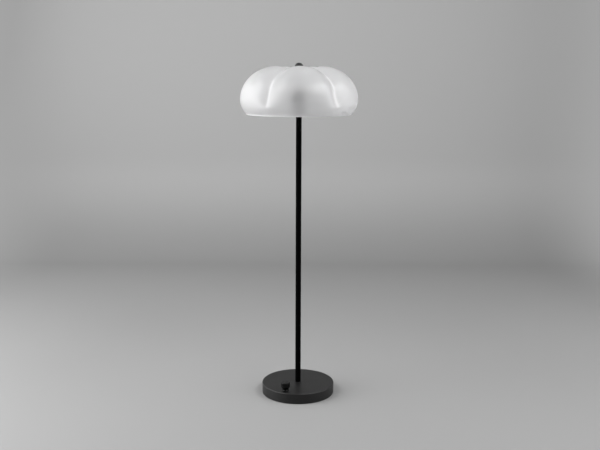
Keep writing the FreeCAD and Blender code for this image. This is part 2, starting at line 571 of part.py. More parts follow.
# Turned knob, hollow over the nut, with a grub screw at its back
GRUB_LEVEL = f"({KNOB_FOOT} + knob_height * grub_share)"
HOLLOW_ROOF = f"({BUSH_TOP} + knob_hollow_gap)"
KNOB_TOP = f"({KNOB_FOOT} + knob_height)"
knob_outline = waisted_section(
    KNOB_FOOT, "knob_foot_radius", "knob_waist_radius", "knob_head_radius", "knob_height"
)
knob_outline += [
    ("knob_head_radius", f"{KNOB_TOP} - knob_edge_round"),
    ("knob_head_radius - knob_edge_round", KNOB_TOP, "knob_edge_round", -1),
    ("0", KNOB_TOP),
    ("0", SHAFT_TOP),
    ("shaft_diameter / 2", SHAFT_TOP),
    ("shaft_diameter / 2", HOLLOW_ROOF),
    ("knob_hollow_radius", HOLLOW_ROOF),
    ("knob_hollow_radius", KNOB_FOOT),
]
grub_hole = lying_cylinder("grub_diameter / 2", "0", "knob_head_radius", GRUB_LEVEL, KNOB_X, KNOB_Y)
knob = turned("dimmer_knob", knob_outline, KNOB_X, KNOB_Y)
solid_shaft = cylinder("shaft_diameter / 2", SHAFT_BOTTOM, SHAFT_TOP, KNOB_X, KNOB_Y)
node("dimmer_knob", without(knob, without(grub_hole, solid_shaft)))
GRUB_START = "(shaft_diameter / 2 + grub_gap)"
GRUB_END = f"({GRUB_START} + grub_length)"
grub = lying_cylinder("grub_diameter / 2", GRUB_START, GRUB_END, GRUB_LEVEL, KNOB_X, KNOB_Y)
SOCKET_START = f"{GRUB_END} - grub_socket_depth"
grub_socket = lying_cylinder("grub_socket_diameter / 2", SOCKET_START, GRUB_END, GRUB_LEVEL, KNOB_X, KNOB_Y)
node("knob_screw", without(grub, grub_socket))

# ---- Riser, lamp cup and lamps -------------------------------------------------------------

# Threaded riser from the stem's upper plug to the finial, with a window for the lead
WINDOW_BOTTOM = f"({CUP_FLOOR} + window_bottom)"
riser = turned("riser", [
    ("riser_bore / 2", "stem_top - riser_depth"),
    ("thread_diameter / 2", "stem_top - riser_depth"),
    ("thread_diameter / 2", RISER_TOP),
    ("riser_bore / 2", RISER_TOP),
])
window = block("window_width", "thread_diameter", "window_height", "0", "-thread_diameter / 2", WINDOW_BOTTOM)
node("riser", without(riser, window))

cup_outline = [
    (THREAD_HOLE, "stem_top"),
    ("cup_diameter / 2 - cup_edge", "stem_top"),
    ("cup_diameter / 2", "stem_top + cup_edge", "cup_edge", -1),
    ("cup_diameter / 2", CUP_TOP),
    ("cup_diameter / 2 - cup_wall", CUP_TOP),
    ("cup_diameter / 2 - cup_wall", "stem_top + cup_edge"),
    ("cup_diameter / 2 - cup_edge", CUP_FLOOR, "cup_edge - cup_wall", 1),
    (THREAD_HOLE, CUP_FLOOR),
]
node("lamp_cup", turned("lamp_cup", cup_outline))
nut("cup_nut", "nut_flats", "thread_diameter / 2", CUP_FLOOR, f"{CUP_FLOOR} + nut_height")

lamp_places = []
for index in range(LAMPS):
    bearing = -90 + 360 * index / LAMPS
    lamp_places.append((f"(holder_circle * cos({bearing}))", f"(holder_circle * sin({bearing}))"))

lid_disc = cylinder("cup_diameter / 2", CUP_TOP, LID_TOP)
lid_holes = [cylinder("holder_diameter / 2 + holder_gap", CUP_TOP, LID_TOP, x, y) for x, y in lamp_places]
node("cup_lid", without(lid_disc, cylinder(THREAD_HOLE, CUP_TOP, LID_TOP), *lid_holes))
RING_NUT_TOP = f"({LID_TOP} + thin_nut_height)"
ring_nut = without(
    cylinder("ring_nut_diameter / 2", LID_TOP, RING_NUT_TOP),
    cylinder("thread_diameter / 2", LID_TOP, RING_NUT_TOP),
    block("slot_width", "2 * ring_nut_diameter", "slot_depth", "0", "0", f"{RING_NUT_TOP} - slot_depth"),
)
node("lid_nut", ring_nut)

# Three ceramic lampholders in the lid, each with its clip, and a capsule lamp in each
PIN_BOTTOM = f"({HOLDER_TOP} - pin_length)"
SOCKET_BOTTOM = f"({PIN_BOTTOM} - pin_end_gap)"
FLANGE_TOP = f"({LID_TOP} + holder_flange)"
CLIP_BOTTOM = f"({CUP_TOP} - clip_thickness)"
clips = []
for index, (x, y) in enumerate(lamp_places, start=1):
    pins = [(f"{x} + pin_pitch / 2", y), (f"{x} - pin_pitch / 2", y)]
    holder = joined(
        cylinder("holder_diameter / 2", HOLDER_BOTTOM, LID_TOP, x, y),
        cylinder("holder_flange_diameter / 2", LID_TOP, FLANGE_TOP, x, y),
        cylinder("holder_head_diameter / 2", FLANGE_TOP, HOLDER_TOP, x, y),
    )
    sockets = [cylinder("pin_diameter / 2 + pin_gap", SOCKET_BOTTOM, HOLDER_TOP, *pin) for pin in pins]
    node(f"lampholder_{index}", without(holder, *sockets))
    ring = cylinder("holder_diameter / 2 + clip_width", CLIP_BOTTOM, CUP_TOP, x, y)
    clips.append(without(ring, cylinder("holder_diameter / 2", CLIP_BOTTOM, CUP_TOP, x, y)))
    foot = cylinder("lamp_diameter / 2", HOLDER_TOP, LAMP_FOOT_TOP, x, y)
    posts = [cylinder("pin_diameter / 2", PIN_BOTTOM, f"{HOLDER_TOP} + lamp_foot / 2", *pin) for pin in pins]
    node(f"lamp_foot_{index}", joined(foot, *posts))
    capsule_outline = [
        ("0", LAMP_FOOT_TOP),
        (CAPSULE_RADIUS, LAMP_FOOT_TOP),
        (CAPSULE_RADIUS, f"{LAMP_TOP} - {CAPSULE_RADIUS}"),
        ("0", LAMP_TOP, CAPSULE_RADIUS, -1),
    ]
    node(f"lamp_capsule_{index}", turned(f"lamp_capsule_{index}", capsule_outline, x, y))
node("holder_clips", grouped(clips))

# ---- Leads, each on straight runs joined by tangent arcs -----------------------------------


def routed_lead(points, diameter, radii):
    """A round lead along straight runs, with one tangent arc of the given radius at each bend."""
    edges = []
    start = points[0]
    for before, corner, after, radius in zip(points, points[1:], points[2:], radii):
        arriving = (corner - before).normalize()
        leaving = (after - corner).normalize()
        setback = radius * math.tan(arriving.getAngle(leaving) / 2)
        first = corner - arriving * setback
        last = corner + leaving * setback
        centre_way = (leaving - arriving).normalize()
        centre = corner + centre_way * math.hypot(radius, setback)
        edges.append(Part.LineSegment(start, first).toShape())
        edges.append(Part.Arc(first, centre - centre_way * radius, last).toShape())
        start = last
    edges.append(Part.LineSegment(start, points[-1]).toShape())
    path = Part.Wire(edges)
    section = Part.Wire(Part.Circle(points[0], points[1] - points[0], diameter / 2).toShape())
    solid = path.makePipeShell([section], True, False)
    expected = math.pi * diameter ** 2 / 4 * path.Length
    print(f"lead: length {path.Length:.1f}, volume / (section x length) {solid.Volume / expected:.4f}")
    return solid


def solid_feature(label, shape):
    """A piece whose shape is worked out here from the sheet's sizes."""
    thing = doc.addObject("Part::Feature", label + "_shape")
    thing.Shape = shape
    return node(label, thing)


lead_width = size("lead_diameter")
lead_level = size("lead_height")
SPLICE_LEVEL = f"({CUP_FLOOR} + splice_level)"
splice_height = size(SPLICE_LEVEL)
splice_y = -size("splice_offset")
stem_route = [
    Vector(0, size(BLOCK_FRONT), lead_level),
    Vector(0, 0, lead_level),
    Vector(0, 0, splice_height),
    Vector(0, splice_y + size("splice_depth / 2"), splice_height),
]
solid_feature("stem_lead", routed_lead(stem_route, lead_width, [size("stem_lead_bend")] * 2))
dimmer_route = [
    Vector(size(KNOB_X), size(KNOB_Y), size(DIMMER_BOTTOM)),
    Vector(size(KNOB_X), size(KNOB_Y), lead_level),
    Vector(size(KNOB_X), size("block_offset"), lead_level),
    Vector(-size("block_length / 2"), size("block_offset"), lead_level),
]
dimmer_bends = [size("dimmer_lead_bend"), size("dimmer_lead_sweep")]
solid_feature("dimmer_lead", routed_lead(dimmer_route, lead_width, dimmer_bends))

# Crimped splice in the cup, and the lampholders' three tails: one straight up, two round the side
SPLICE_BOTTOM = f"({SPLICE_LEVEL} - splice_height / 2)"
splice = block("splice_width", "splice_depth", "splice_height", "0", "-splice_offset", SPLICE_BOTTOM)
node("lead_splice", splice)
tail_width = size("tail_diameter")
tail_bends = [size("tail_bend")] * 2
holder_bottom = size(HOLDER_BOTTOM)
splice_top = Vector(0, splice_y, size(f"{SPLICE_BOTTOM} + splice_height"))
tails = [routed_lead([Vector(0, splice_y, holder_bottom), splice_top], tail_width, [])]
for x, y in lamp_places[1:]:
    side = size(x)
    tail_route = [
        Vector(side, size(y), holder_bottom),
        Vector(side, size(y), splice_height),
        Vector(side, splice_y, splice_height),
        Vector(math.copysign(size("splice_width / 2"), side), splice_y, splice_height),
    ]
    tails.append(routed_lead(tail_route, tail_width, tail_bends))
solid_feature("holder_tails", Part.makeCompound(tails))

# ---- Glass shade and what holds it ---------------------------------------------------------

nut("seat_nut", "nut_flats", "thread_diameter / 2", f"{SEAT_BOTTOM} - thin_nut_height", SEAT_BOTTOM)
washer("shade_seat", "seat_radius", THREAD_HOLE, SEAT_BOTTOM, SEAT_TOP)
LOWER_GASKET_TOP = f"({GLASS_UNDERSIDE} - gasket_gap)"
washer("lower_gasket", "gasket_radius", THREAD_HOLE, SEAT_TOP, LOWER_GASKET_TOP)
UPPER_GASKET_BOTTOM = "(shade_flat_height + gasket_gap)"
washer("upper_gasket", "gasket_radius", THREAD_HOLE, UPPER_GASKET_BOTTOM, CAP_WASHER_BOTTOM)
washer("cap_washer", "cap_washer_radius", THREAD_HOLE, CAP_WASHER_BOTTOM, FINIAL_FOOT)
FINIAL_HEAD = f"({FINIAL_FOOT} + finial_height * form_head)"
FINIAL_TOP = f"({FINIAL_FOOT} + finial_height)"
DOME_RISE = f"({FINIAL_TOP} - {FINIAL_HEAD})"
finial_outline = waisted_section(
    FINIAL_FOOT, "finial_foot_radius", "finial_waist_radius", "finial_head_radius", "finial_height"
)
finial_outline += [
    ("0", FINIAL_TOP, f"(finial_head_radius ^ 2 / {DOME_RISE} + {DOME_RISE}) / 2", -1),
    ("0", f"{RISER_TOP} + riser_end_gap"),
    ("thread_diameter / 2", f"{RISER_TOP} + riser_end_gap"),
    ("thread_diameter / 2", FINIAL_FOOT),
]
node("finial", turned("finial", finial_outline))


def shade_meridian():
    """Points and outward normals of a lobe's ridge, from the flat's edge to the rim.

    A cosine rise out of the dimple to the crest, a quarter ellipse over the shoulder and a
    circular arc from the widest level in to the rim. Each entry is (radius, height, normal's
    radial part, normal's upward part).
    """
    flat, low = size("shade_flat_radius"), size("shade_flat_height")
    crest_radius, crest = size("shade_crest_radius"), size("shade_crest_height")
    widest, middle = size("shade_widest_radius"), size("shade_widest_height")
    lower, rim = size("shade_lower_radius"), size("shade_rim_height")
    across, up = widest - crest_radius, crest - middle
    entries = []
    for step in range(DIMPLE_ROWS):
        share = step / DIMPLE_ROWS
        rise = (1 - math.cos(math.pi * share)) / 2
        slope = (crest - low) * math.pi / 2 * math.sin(math.pi * share) / (crest_radius - flat)
        normal = Vector(-slope, 1, 0).normalize()
        entries.append((flat + (crest_radius - flat) * share, low + (crest - low) * rise, normal.x, normal.y))
    for step in range(SHOULDER_ROWS):
        angle = math.pi / 2 * (1 - step / SHOULDER_ROWS)
        radius = crest_radius + across * math.cos(angle)
        normal = Vector(math.cos(angle) / across, math.sin(angle) / up, 0).normalize()
        entries.append((radius, middle + up * math.sin(angle), normal.x, normal.y))
    rim_angle = math.asin((middle - rim) / lower)
    for step in range(LOWER_ROWS + 1):
        angle = rim_angle * step / LOWER_ROWS
        radius = widest - lower + lower * math.cos(angle)
        entries.append((radius, middle - lower * math.sin(angle), math.cos(angle), -math.sin(angle)))
    return entries


def groove_push(radius, height):
    """Depth of a groove at a point of the ridge: none on the flat, a cosine rise over the crest,
    whole on the shoulder, and a cubic fall with a rounded end to none below the groove's end."""
    flat, fade = size("shade_flat_radius"), size("groove_fade_height")
    way = min(max((radius - flat) / (size("groove_full_radius") - flat), 0), 1)
    begun = (1 - math.cos(math.pi * way)) / 2
    run = max(0, (fade - height) / (fade - size("groove_end_height")))
    left = 1 - run ** 3
    softness = size("groove_end_softness") / size("groove_depth")
    return size("groove_depth") * begun * (left + math.hypot(left, softness)) / 2


def lobe_power(height):
    """The power by which a lobe falls from its ridge to the groove at a level; it grows with the
    square of the way down from the crest."""
    crest = size("shade_crest_height")
    down = (crest - height) / (crest - size("groove_end_height"))
    return size("lobe_power") + size("groove_narrowing") * down ** 2


def half_lobe(inset):
    """A lobe's face from its ridge to one groove: the ridge is pushed in along its normal by the
    inset and by the groove's depth times a power of the way from the ridge to the groove."""
    rows = []
    for radius, height, outward, upward in shade_meridian():
        depth, power = groove_push(radius, height), lobe_power(height)
        row = []
        for step in range(LOBE_COLUMNS + 1):
            turn = step / LOBE_COLUMNS
            push = inset + depth * turn ** power
            reach = radius - push * outward
            angle = math.pi / LOBES * turn
            row.append(Vector(reach * math.sin(angle), -reach * math.cos(angle), height - push * upward))
        rows.append(row)
    surface = Part.BSplineSurface()
    surface.interpolate(rows)
    return surface.toShape()


def ring_edges(face):
    """The edges of a half lobe that run round the shade: the one at the flat and the one at the rim."""

    def radius(vertex):
        return math.hypot(vertex.X, vertex.Y)

    def span(edge):
        return abs(radius(edge.Vertexes[0]) - radius(edge.Vertexes[-1]))

    level_edges = sorted(face.Edges, key=span)[:2]
    return sorted(level_edges, key=lambda edge: radius(edge.Vertexes[0]))


def flat_ring(half_lobes, height):
    """The flat between the hole and the half lobes of one skin."""
    outside = Part.Wire(Part.sortEdges([ring_edges(face)[0] for face in half_lobes])[0])
    hole = Part.Wire(Part.Circle(Vector(0, 0, height), Vector(0, 0, 1), size("shade_hole_radius")).toShape())
    return Part.makeFace([outside, hole], "Part::FaceMakerBullseye")


def lobed_shade():
    """The glass as one closed shell: an outer and an inner skin, joined at the hole and the rim."""

    def all_round(face):
        """A face of one half lobe, mirrored and repeated for every lobe."""
        copies = []
        for index in range(LOBES):
            for half in (face.copy(), face.mirror(Vector(0, 0, 0), Vector(1, 0, 0))):
                half.rotate(Vector(0, 0, 0), Vector(0, 0, 1), size("shade_bearing") + 360 * index / LOBES)
                copies += half.Faces
        return copies

    wall, top = size("shade_wall"), size("shade_flat_height")
    outer, inner = half_lobe(0.0), half_lobe(wall)
    rim = Part.makeRuledSurface(ring_edges(outer)[1], ring_edges(inner)[1])
    outer_skin, inner_skin = all_round(outer), all_round(inner)
    hole_wall = Part.makeCylinder(size("shade_hole_radius"), wall, Vector(0, 0, top - wall)).Faces[0]
    flats = [flat_ring(outer_skin, top), flat_ring(inner_skin, top - wall)]
    skin = Part.Compound(outer_skin + inner_skin + all_round(rim) + flats + [hole_wall])
    skin.sewShape(1e-3)
    glass = Part.Solid(skin.Shells[0])
    if glass.Volume < 0:
        glass.reverse()
    return glass


solid_feature("shade", lobed_shade())

# ---- Checks and files ----------------------------------------------------------------------

doc.recompute()
faults = [f"{thing.Label}: {thing.State}" for thing in doc.Objects if {"Invalid", "Error"} & set(thing.State)]
for label, thing in nodes.items():
    shape = thing.Shape
    if shape.isNull() or not shape.isValid() or not shape.Solids:
        faults.append(f"{label}: the shape is empty or not valid")
if faults:
    raise RuntimeError("; ".join(faults))

os.makedirs("parts", exist_ok=True)
for label, thing in nodes.items():
    thing.Shape.exportStep(f"parts/{label}.step")
    box = thing.Shape.BoundBox
    print(f"{label}: {len(thing.Shape.Solids)} solid(s), {thing.Shape.Volume:.0f} mm3, "
          f"z {box.ZMin:.1f} to {box.ZMax:.1f}")
print(f"{len(nodes)} nodes")
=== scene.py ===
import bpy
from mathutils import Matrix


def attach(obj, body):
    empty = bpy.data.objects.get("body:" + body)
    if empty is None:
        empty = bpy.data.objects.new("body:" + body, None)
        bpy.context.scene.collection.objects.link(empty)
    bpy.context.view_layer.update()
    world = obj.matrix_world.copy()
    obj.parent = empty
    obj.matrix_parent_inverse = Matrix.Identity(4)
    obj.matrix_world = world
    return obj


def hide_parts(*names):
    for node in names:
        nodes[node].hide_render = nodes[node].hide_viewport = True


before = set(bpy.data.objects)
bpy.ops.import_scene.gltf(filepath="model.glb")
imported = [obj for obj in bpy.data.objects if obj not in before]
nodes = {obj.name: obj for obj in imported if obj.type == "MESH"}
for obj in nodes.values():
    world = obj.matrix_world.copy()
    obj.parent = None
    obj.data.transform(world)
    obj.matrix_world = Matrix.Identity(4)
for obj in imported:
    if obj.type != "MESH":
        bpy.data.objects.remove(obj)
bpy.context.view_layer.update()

import math

import bpy
import numpy as np
from mathutils import Matrix, Vector


# ---- Camera --------------------------------------------------------------------------------
# A 50 mm lens about 2.8 m in front of the stem and a little above the shade's rim, pitched down
# so that the base shows its top. It stands a few millimetres to the right of the stem's axis.

MM = 0.001
camera_place = (5.2 * MM, -2.798, 1.0902)
pitch_down, roll_left = 10.04, 0.22

camera_data = bpy.data.cameras.new("camera")
camera_data.sensor_width = 36.0
camera_data.lens = 50.0
camera = bpy.data.objects.new("camera", camera_data)
bpy.context.scene.collection.objects.link(camera)
pitch = Matrix.Rotation(math.radians(90 - pitch_down), 4, "X")
roll = Matrix.Rotation(math.radians(roll_left), 4, "Z")
camera.matrix_world = Matrix.Translation(camera_place) @ pitch @ roll
bpy.context.scene.camera = camera
bpy.context.scene.view_settings.view_transform = "Standard"


# ---- Studio --------------------------------------------------------------------------------
# A pale seamless paper that sweeps up from the floor into a wall behind the lamp, with large
# soft lamps over it and at its sides. The way a shader's numbers are written stands here, as
# the paper is the first thing with a finish.


class Value:
    """A number of a shader that varies over the surface; arithmetic on it adds Math nodes."""

    def __init__(self, tree, socket):
        self.tree = tree
        self.socket = socket

    def math(self, operation, *others):
        """The result of a Math node on this number and the others, in that order."""
        operands = {f"input_{place}": operand for place, operand in enumerate((self, *others))}
        return add_node(self.tree, "Math", {"operation": operation}, **operands)

    def __add__(self, other):
        return self.math("ADD", other)

    def __sub__(self, other):
        return self.math("SUBTRACT", other)

    def __rsub__(self, other):
        """The other number less this one, as -1 times this one plus the other."""
        return self.math("MULTIPLY_ADD", -1.0, other)

    def __mul__(self, other):
        return self.math("MULTIPLY", other)

    def __pow__(self, other):
        return self.math("POWER", other)

    __radd__ = __add__
    __rmul__ = __mul__


def connect(tree, entry, operand):
    """Puts a number, a colour or another node's result on a socket."""
    if isinstance(operand, Value):
        tree.links.new(operand.socket, entry)
    elif operand is not None:
        entry.default_value = operand


def add_node(tree, kind, settings=None, output=0, **sockets):
    """Adds a node and gives one of its results.

    Its settings are made first. A socket is named by its label with underscores, or input_N by
    its place.
    """
    made = tree.nodes.new("ShaderNode" + kind)
    for key, setting in (settings or {}).items():
        setattr(made, key, setting)
    for key, operand in sockets.items():
        if key.startswith("input_"):
            entry = made.inputs[int(key[6:])]
        else:
            entry = made.inputs[key.replace("_", " ")]
        connect(tree, entry, operand)
    return Value(tree, made.outputs[output])


class Finish:
    """A material, or the studio's air, that is built up node by node."""

    def __init__(self, name, kind="Material"):
        holders = {"Material": bpy.data.materials, "World": bpy.data.worlds}
        self.holder = holders[kind].new(name)
        self.holder.use_nodes = True
        self.tree = self.holder.node_tree
        self.tree.nodes.clear()
        self.ending = self.tree.nodes.new("ShaderNodeOutput" + kind)

    def node(self, kind, settings=None, output=0, **sockets):
        return add_node(self.tree, kind, settings, output, **sockets)

    def place(self, scale=(1.0, 1.0, 1.0)):
        """Object coordinates, stretched."""
        where = self.node("TexCoord", output="Object")
        return self.node("Mapping", Vector=where, Scale=scale)

    def noise(self, scale, detail, roughness=0.5, where=None):
        """Cloudy variation from 0 to 1, with its scale in waves per metre."""
        where = where or self.place()
        return self.node("TexNoise", Vector=where, Scale=scale, Detail=detail, Roughness=roughness)

    def tint(self, share, dark, light):
        """A colour between two, by a share from 0 to 1."""
        ends = {"input_6": (*dark, 1.0), "input_7": (*light, 1.0)}
        return self.node("Mix", {"data_type": "RGBA"}, output=2, input_0=share, **ends)

    def ramp(self, number, low, high):
        """A soft step that is 0 up to the first number and 1 from the second on."""
        soft = {"interpolation_type": "SMOOTHSTEP"}
        return self.node("MapRange", soft, Value=number, From_Min=low, From_Max=high)

    def bump(self, height, distance, strength):
        """A surface relief of the given height in metres."""
        return self.node("Bump", Height=height, Distance=distance, Strength=strength)

    def looked_at(self):
        """1 where it is looked at, also by way of gloss or glass, and 0 where it gives light."""
        seen, mirrored, through = (
            self.node("LightPath", output=f"Is {way} Ray") for way in ("Camera", "Glossy", "Transmission")
        )
        return seen.math("MAXIMUM", mirrored.math("MAXIMUM", through))

    def shader(self, **sockets):
        """The Principled shader, by its sockets' labels."""
        return self.node("BsdfPrincipled", **sockets)

    def done(self, shader):
        connect(self.tree, self.ending.inputs["Surface"], shader)
        return self.holder


def grid_mesh(name, points, wrap_rows=False, wrap_columns=True, flip=False):
    """A surface through a grid of points of shape (rows, columns, 3), with shared corners.

    Each cell of the grid is one quad; a wrapped direction joins its last line to its first.
    """
    numbers = np.arange(points.shape[0] * points.shape[1]).reshape(points.shape[:2])
    if wrap_rows:
        numbers = np.concatenate([numbers, numbers[:1]])
    if wrap_columns:
        numbers = np.concatenate([numbers, numbers[:, :1]], axis=1)
    corners = [numbers[:-1, :-1], numbers[:-1, 1:], numbers[1:, 1:], numbers[1:, :-1]]
    quads = np.stack(corners, axis=-1).reshape(-1, 4)
    if flip:
        quads = quads[:, ::-1]
    mesh = bpy.data.meshes.new(name)
    mesh.from_pydata(points.reshape(-1, 3).tolist(), [], quads.tolist())
    mesh.shade_smooth()
    mesh.validate()
    made = bpy.data.objects.new(name, mesh)
    bpy.context.scene.collection.objects.link(made)
    return made


# Edges of the paper and the radius of its sweep, in metres
front_edge, wall_line, wall_top, half_width = -4.5, 2.6, 4.0, 4.5
sweep_radius, sweep_rows = 0.6, 24

# Tones of floor, wall and air, the heights between which floor turns to wall, and the distances
# from the stem between which the paper leaves the reach of the lamps
floor_tone, wall_tone, air_tone = 0.29, 0.40, 0.40
tone_change = (0.0, 0.5)
unlit_to_the_side, unlit_to_the_front = (1.4, 2.2), (0.8, 2.4)

angle = np.linspace(0, math.pi / 2, sweep_rows)
bend = wall_line - sweep_radius + sweep_radius * np.sin(angle)
run = np.concatenate([[front_edge], bend, [wall_line]])
rise = np.concatenate([[0.0], sweep_radius * (1 - np.cos(angle)), [wall_top]])
across, run, rise = np.broadcast_arrays([[-half_width, half_width]], run[:, None], rise[:, None])
studio = grid_mesh("studio", np.stack([across, run, rise], axis=-1), wrap_columns=False)

paper = Finish("studio_paper")
aside, back, height = (paper.node("SeparateXYZ", output=axis, Vector=paper.place()) for axis in "XYZ")
mottle = 0.03 * paper.noise(scale=3.0, detail=3.0)
up_the_wall = paper.ramp(height, *tone_change)
paper_colour = paper.tint(up_the_wall + mottle, (floor_tone,) * 3, (wall_tone,) * 3)

# Past the reach of the lamps the paper shows the tone of the studio's air.
air_colour = (air_tone, air_tone, air_tone, 1.0)
to_the_side = paper.ramp(aside.math("ABSOLUTE"), *unlit_to_the_side)
to_the_front = paper.ramp(-1.0 * back, *unlit_to_the_front)
studio.data.materials.append(paper.done(paper.node(
    "MixShader",
    Fac=paper.looked_at() * to_the_side.math("MAXIMUM", to_the_front),
    input_1=paper.shader(Base_Color=paper_colour, Roughness=0.75),
    input_2=paper.node("Emission", Color=air_colour),
)))

air = Finish("studio_air", "World")
bpy.context.scene.world = air.done(air.node("Background", Color=air_colour, Strength=air.looked_at()))


def soft_lamp(name, place, aim, width, height, power):
    """A rectangular soft lamp that shines from a place towards a point."""
    data = bpy.data.lights.new(name, "AREA")
    data.shape = "RECTANGLE"
    data.size, data.size_y = width, height
    data.energy = power
    lamp = bpy.data.objects.new(name, data)
    bpy.context.scene.collection.objects.link(lamp)
    turn = (Vector(aim) - Vector(place)).to_track_quat("-Z", "Y").to_matrix().to_4x4()
    lamp.matrix_world = Matrix.Translation(place) @ turn


shade_middle, over_the_stem, beside_the_shade = (0.0, 0.0, 1.0), (0.0, 0.0, 0.9), (0.0, -0.3, 1.45)
soft_lamp("left_lamp", (-2.5, -0.3, 1.45), beside_the_shade, width=2.6, height=2.7, power=78)
soft_lamp("right_lamp", (2.5, -0.3, 1.45), beside_the_shade, width=2.6, height=2.7, power=38)
soft_lamp("high_left_lamp", (-1.9, -0.4, 2.8), shade_middle, width=1.2, height=1.2, power=27)
soft_lamp("high_right_lamp", (1.9, -0.4, 2.8), shade_middle, width=1.2, height=1.2, power=28)
soft_lamp("upper_front_left_lamp", (-1.5, -1.6, 2.8), shade_middle, width=1.2, height=1.2, power=21)
soft_lamp("upper_front_right_lamp", (1.5, -1.6, 2.8), shade_middle, width=1.2, height=1.2, power=40)
soft_lamp("left_back_lamp", (-2.4, 1.7, 1.6), shade_middle, width=1.4, height=2.0, power=13)
soft_lamp("top_lamp", (0.0, 0.2, 3.0), over_the_stem, width=2.0, height=1.4, power=5.5)
soft_lamp("low_left_lamp", (-1.8, -0.6, 0.35), shade_middle, width=1.4, height=0.9, power=12)


# ---- Frosted glass shade -------------------------------------------------------------------
# Blown into a five-part mould: five lobes with creases between them that run out above a plain
# round band, 3.5 mm thick, satin-etched all over, with a fire-polished rim and a flat at the
# top round the hole for the riser.

STAND = "lamp_stand"
LOBES = 5
shade_bearing = math.radians(4.3)
shade_wall = 3.5
hole_radius, flat_radius, flat_height = 5.6, 18.0, 1109.0
crest_radius, crest_height = 80.0, 1126.8
widest_radius, widest_height = 195.8, 1020.0
lower_radius, rim_height = 71.0, 968.7
groove_depth, groove_full_radius, fade_height, groove_end = 17.8, 135.0, 1062.0, 997.0
groove_softness, crease_softness = 1.5, 0.035
lobe_power, groove_narrowing = 2.4, 4.6

# Lines of the skin's grid down each stretch and across a lobe, how much they crowd towards a
# crease, and lines round the rim and across the wall at the hole
flat_rows, rise_rows, shoulder_rows, band_rows = 8, 26, 48, 30
lobe_columns, crowding = 56, 1.35
rim_rows, hole_rows = 7, 3


def ridge_line():
    """Points and outward normals down the middle of a lobe.

    A flat, a cosine rise out of the dimple, a quarter ellipse over the shoulder, and a circular
    arc from the widest level in to the rim.
    """
    flat = np.linspace(hole_radius, flat_radius, flat_rows, endpoint=False)
    share = np.linspace(0, 1, rise_rows, endpoint=False)
    lift, spread = crest_height - flat_height, crest_radius - flat_radius
    slope = lift * math.pi / 2 * np.sin(math.pi * share) / spread
    turn = np.linspace(math.pi / 2, 0, shoulder_rows, endpoint=False)
    wide, tall = widest_radius - crest_radius, crest_height - widest_height
    drop = np.linspace(0, math.asin((widest_height - rim_height) / lower_radius), band_rows)
    radius = np.concatenate([
        flat,
        flat_radius + spread * share,
        crest_radius + wide * np.cos(turn),
        widest_radius - lower_radius + lower_radius * np.cos(drop),
    ])
    height = np.concatenate([
        np.full(flat_rows, flat_height),
        flat_height + lift * (1 - np.cos(math.pi * share)) / 2,
        widest_height + tall * np.sin(turn),
        widest_height - lower_radius * np.sin(drop),
    ])
    outward = np.concatenate([np.zeros(flat_rows), -slope, np.cos(turn) / wide, np.cos(drop)])
    upward = np.concatenate([np.ones(flat_rows + rise_rows), np.sin(turn) / tall, -np.sin(drop)])
    length = np.hypot(outward, upward)
    return radius, height, outward / length, upward / length


def lobed_skin(inset):
    """A skin of the shade, at a depth below its outer face.

    The ridge line is pushed in along its normal by the inset and by the groove's depth times
    a power of the way from the lobe's middle to the groove, rounded off in the crease. The
    power grows with the square of the way down from the crest, so the groove gets narrower.
    """
    radius, height, outward, upward = ridge_line()
    way = np.clip((radius - flat_radius) / (groove_full_radius - flat_radius), 0, 1)
    begun = (1 - np.cos(math.pi * way)) / 2
    fade = np.clip((fade_height - height) / (fade_height - groove_end), 0, None)
    left = 1 - fade ** 3
    depth = groove_depth * begun * (left + np.hypot(left, groove_softness / groove_depth)) / 2
    step = np.linspace(-1, 1, lobe_columns, endpoint=False)
    turn = np.sign(step) * (1 - (1 - np.abs(step)) ** crowding)
    from_crease = np.hypot(1 - np.abs(turn), crease_softness) - crease_softness
    down = (crest_height - height) / (crest_height - groove_end)
    power = lobe_power + groove_narrowing * down ** 2
    bulge = (1 - np.tile(from_crease, LOBES)) ** power[:, None]
    angle = (turn + 2 * np.arange(LOBES)[:, None]).reshape(-1) * math.pi / LOBES + shade_bearing
    push = inset + depth[:, None] * bulge
    reach = radius[:, None] - push * outward[:, None]
    level = height[:, None] - push * upward[:, None]
    return np.stack([reach * np.sin(angle), -reach * np.cos(angle), level], axis=-1) * MM


def bead(first, last, rows, side):
    """An edge between two matching rings of points, of which the side is the bulge.

    Middle plus half the step between the rings times a cosine, plus the bulge times a sine.
    """
    turn = np.linspace(0, math.pi, rows + 2)[1:-1, None, None]
    middle, half = (first + last) / 2, (first - last) / 2
    return middle + half * np.cos(turn) + side * np.sin(turn)


outer_skin = lobed_skin(0.0)
inner_skin = lobed_skin(shade_wall)
rim_way = outer_skin[-1] - outer_skin[-2]
rim_way *= shade_wall / 2 * MM / np.linalg.norm(rim_way, axis=-1, keepdims=True)
rim_bead = bead(outer_skin[-1], inner_skin[-1], rim_rows, rim_way)
hole_edge = bead(inner_skin[0], outer_skin[0], hole_rows, 0.0)
glass_points = np.concatenate([outer_skin, rim_bead, inner_skin[::-1], hole_edge])
shade = grid_mesh("shade_glass", glass_points, wrap_rows=True, flip=True)

glass = Finish("satin_etched_glass")
etch = glass.noise(scale=900.0, detail=2.0)
glass_body = glass.shader(
    Base_Color=glass.tint(etch, (0.925, 0.925, 0.93), (0.945, 0.945, 0.95)),
    Roughness=0.32 + 0.04 * etch,
    IOR=1.45,
    Transmission_Weight=0.9,
    Normal=glass.bump(etch, distance=0.00002, strength=0.4),
)
milk = glass.node("BsdfTranslucent", Color=(0.93, 0.93, 0.935, 1.0))
milky_share = 0.13
milky_body = glass.node("MixShader", Fac=milky_share, input_1=glass_body, input_2=milk)

